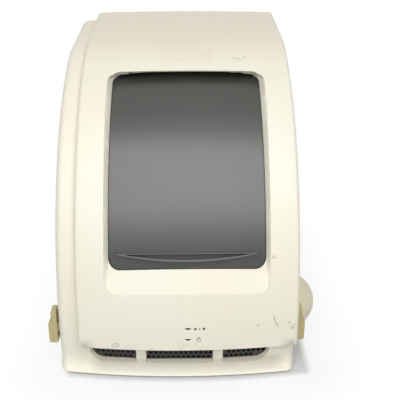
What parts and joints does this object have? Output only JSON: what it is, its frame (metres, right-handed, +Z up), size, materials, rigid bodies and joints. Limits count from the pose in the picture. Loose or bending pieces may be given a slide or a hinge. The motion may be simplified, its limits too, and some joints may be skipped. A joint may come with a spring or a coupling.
{
  "type": "real-time pcr machine",
  "caption": "Bench-top thermal cycler with optical reading: curved front cover with a sliding door, heated lid and scanner over a well block, side catches and air inlets.",
  "frame": {"origin": "on the table, under the middle of the machine", "axes": "+X to the right seen from the front, +Y to the back, +Z up"},
  "size_m": [0.38, 0.4599, 0.4297],
  "materials": {
    "cover_shell": "satin",
    "housing_shell": "satin",
    "door": "satin",
    "catch": "matt",
    "lens": "polished",
    "screen": "matt",
    "black_plastic": "matt",
    "grey_plastic": "matt",
    "steel_sheet": "satin",
    "zinc_sheet": "brushed",
    "bright_steel": "polished",
    "block_aluminium": "satin",
    "sink_aluminium": "satin",
    "black_metal": "satin",
    "ceramic": "matt",
    "lamp_glass": "clear",
    "board": "satin",
    "rubber": "matt"
  },
  "bodies": {
    "base": {"housing": "housing_shell", "inlet_screens": "screen", "hinge_brackets": "zinc_sheet", "hinge_pins": "bright_steel", "lamp_cap_lower": "cover_shell", "lamp_cap_upper": "cover_shell", "floor_pan": "zinc_sheet", "feet": "rubber", "bay_side_plates": "steel_sheet", "bay_plate_rear": "steel_sheet", "deck": "steel_sheet", "thermal_block": "block_aluminium", "block_collar": "grey_plastic", "thermoelectric_elements": "ceramic", "heat_sink": "sink_aluminium", "block_fan_frame": "black_plastic", "fan_stand": "zinc_sheet", "lid_posts": "zinc_sheet", "lamp_tube": "black_metal", "lamp": "lamp_glass", "lamp_bracket": "zinc_sheet", "excitation_bracket": "zinc_sheet", "excitation_motor": "black_metal", "optics_shelf": "steel_sheet", "emission_motor": "black_metal", "detector": "black_metal", "detector_mount": "zinc_sheet", "power_supply": "zinc_sheet", "main_board": "board", "board_parts": "black_plastic", "board_standoffs": "bright_steel", "rear_panel": "steel_sheet", "exhaust_fan_frame": "black_plastic", "fan_guard": "bright_steel", "power_inlet": "black_plastic", "switch_bezel": "black_plastic", "data_port": "bright_steel"},
    "cover": {"front_cover": "cover_shell", "indicator_lenses": "lens", "door_rails": "grey_plastic"},
    "door": {"sliding_door": "door"},
    "catch_left": {"release_catch_left": "catch"},
    "catch_right": {"release_catch_right": "catch"},
    "lid": {"heated_lid": "black_metal", "lid_heater_plate": "block_aluminium", "lid_handle": "grey_plastic", "scan_end_blocks": "grey_plastic", "scan_guide_rods": "bright_steel", "carriage_motor": "black_metal"},
    "lid_screw": {"carriage_screw": "bright_steel"},
    "carriage": {"scan_carriage": "black_metal", "head_motor": "black_metal"},
    "cross_screw": {"head_screw": "bright_steel"},
    "head": {"scan_head": "black_metal"},
    "excitation_filters": {"excitation_wheel": "black_metal"},
    "emission_filters": {"emission_wheel": "black_metal"},
    "block_fan": {"block_fan_rotor": "black_plastic"},
    "exhaust_fan": {"exhaust_fan_rotor": "black_plastic"},
    "rocker": {"power_rocker": "black_plastic"}
  },
  "joints": [
    {"name": "cover_hinge", "type": "hinge", "parent": "base", "child": "cover", "pos_m": [0.00455, 0.219, 0.41651], "axis": [-1, 0, 0], "range_deg": [0, 50]},
    {"name": "door_slide", "type": "hinge", "parent": "cover", "child": "door", "pos_m": [0.00455, 0.141, 0.054], "axis": [-1, 0, 0], "range_deg": [0, 34]},
    {"name": "catch_left_press", "type": "slide", "parent": "base", "child": "catch_left", "axis": [1, 0, 0], "range_m": [0, 0.003], "stiffness_N_per_m": 800},
    {"name": "catch_right_press", "type": "slide", "parent": "base", "child": "catch_right", "axis": [-1, 0, 0], "range_m": [0, 0.003], "stiffness_N_per_m": 800},
    {"name": "lid_hinge", "type": "hinge", "parent": "base", "child": "lid", "pos_m": [0.00455, 0.02, 0.19], "axis": [-1, 0, 0], "range_deg": [0, 75]},
    {"name": "lid_screw_turn", "type": "hinge", "parent": "lid", "child": "lid_screw", "pos_m": [-0.06945, 0.02, 0.21], "axis": [0, 1, 0], "range_deg": [0, 1136]},
    {"name": "carriage_travel", "type": "slide", "parent": "lid", "child": "carriage", "axis": [0, 1, 0], "range_m": [0, 0.063]},
    {"name": "cross_screw_turn", "type": "hinge", "parent": "carriage", "child": "cross_screw", "pos_m": [0.00455, -0.0965, 0.2061], "axis": [1, 0, 0], "range_deg": [0, 1784]},
    {"name": "head_travel", "type": "slide", "parent": "carriage", "child": "head", "axis": [1, 0, 0], "range_m": [0, 0.099]},
    {"name": "excitation_turn", "type": "hinge", "parent": "base", "child": "excitation_filters", "pos_m": [0.09455, -0.13, 0.087], "axis": [1, 0, 0], "continuous": true},
    {"name": "emission_turn", "type": "hinge", "parent": "base", "child": "emission_filters", "pos_m": [0.04255, 0.118, 0.24], "axis": [0, 1, 0], "continuous": true},
    {"name": "block_fan_turn", "type": "hinge", "parent": "base", "child": "block_fan", "pos_m": [0.00455, -0.065, 0.0961], "axis": [0, 0, 1], "continuous": true},
    {"name": "exhaust_fan_turn", "type": "hinge", "parent": "base", "child": "exhaust_fan", "pos_m": [-0.06, 0.2255, 0.30001], "axis": [0, 1, 0], "continuous": true},
    {"name": "power_switch", "type": "hinge", "parent": "base", "child": "rocker", "pos_m": [0.105, 0.226, 0.06], "axis": [-1, 0, 0], "range_deg": [0, 18]}
  ],
  "couplings": [
    {"joint": "lid_screw_turn", "follows": "carriage_travel", "rad_per_m": 314.16},
    {"joint": "cross_screw_turn", "follows": "head_travel", "rad_per_m": 314.16}
  ]
}
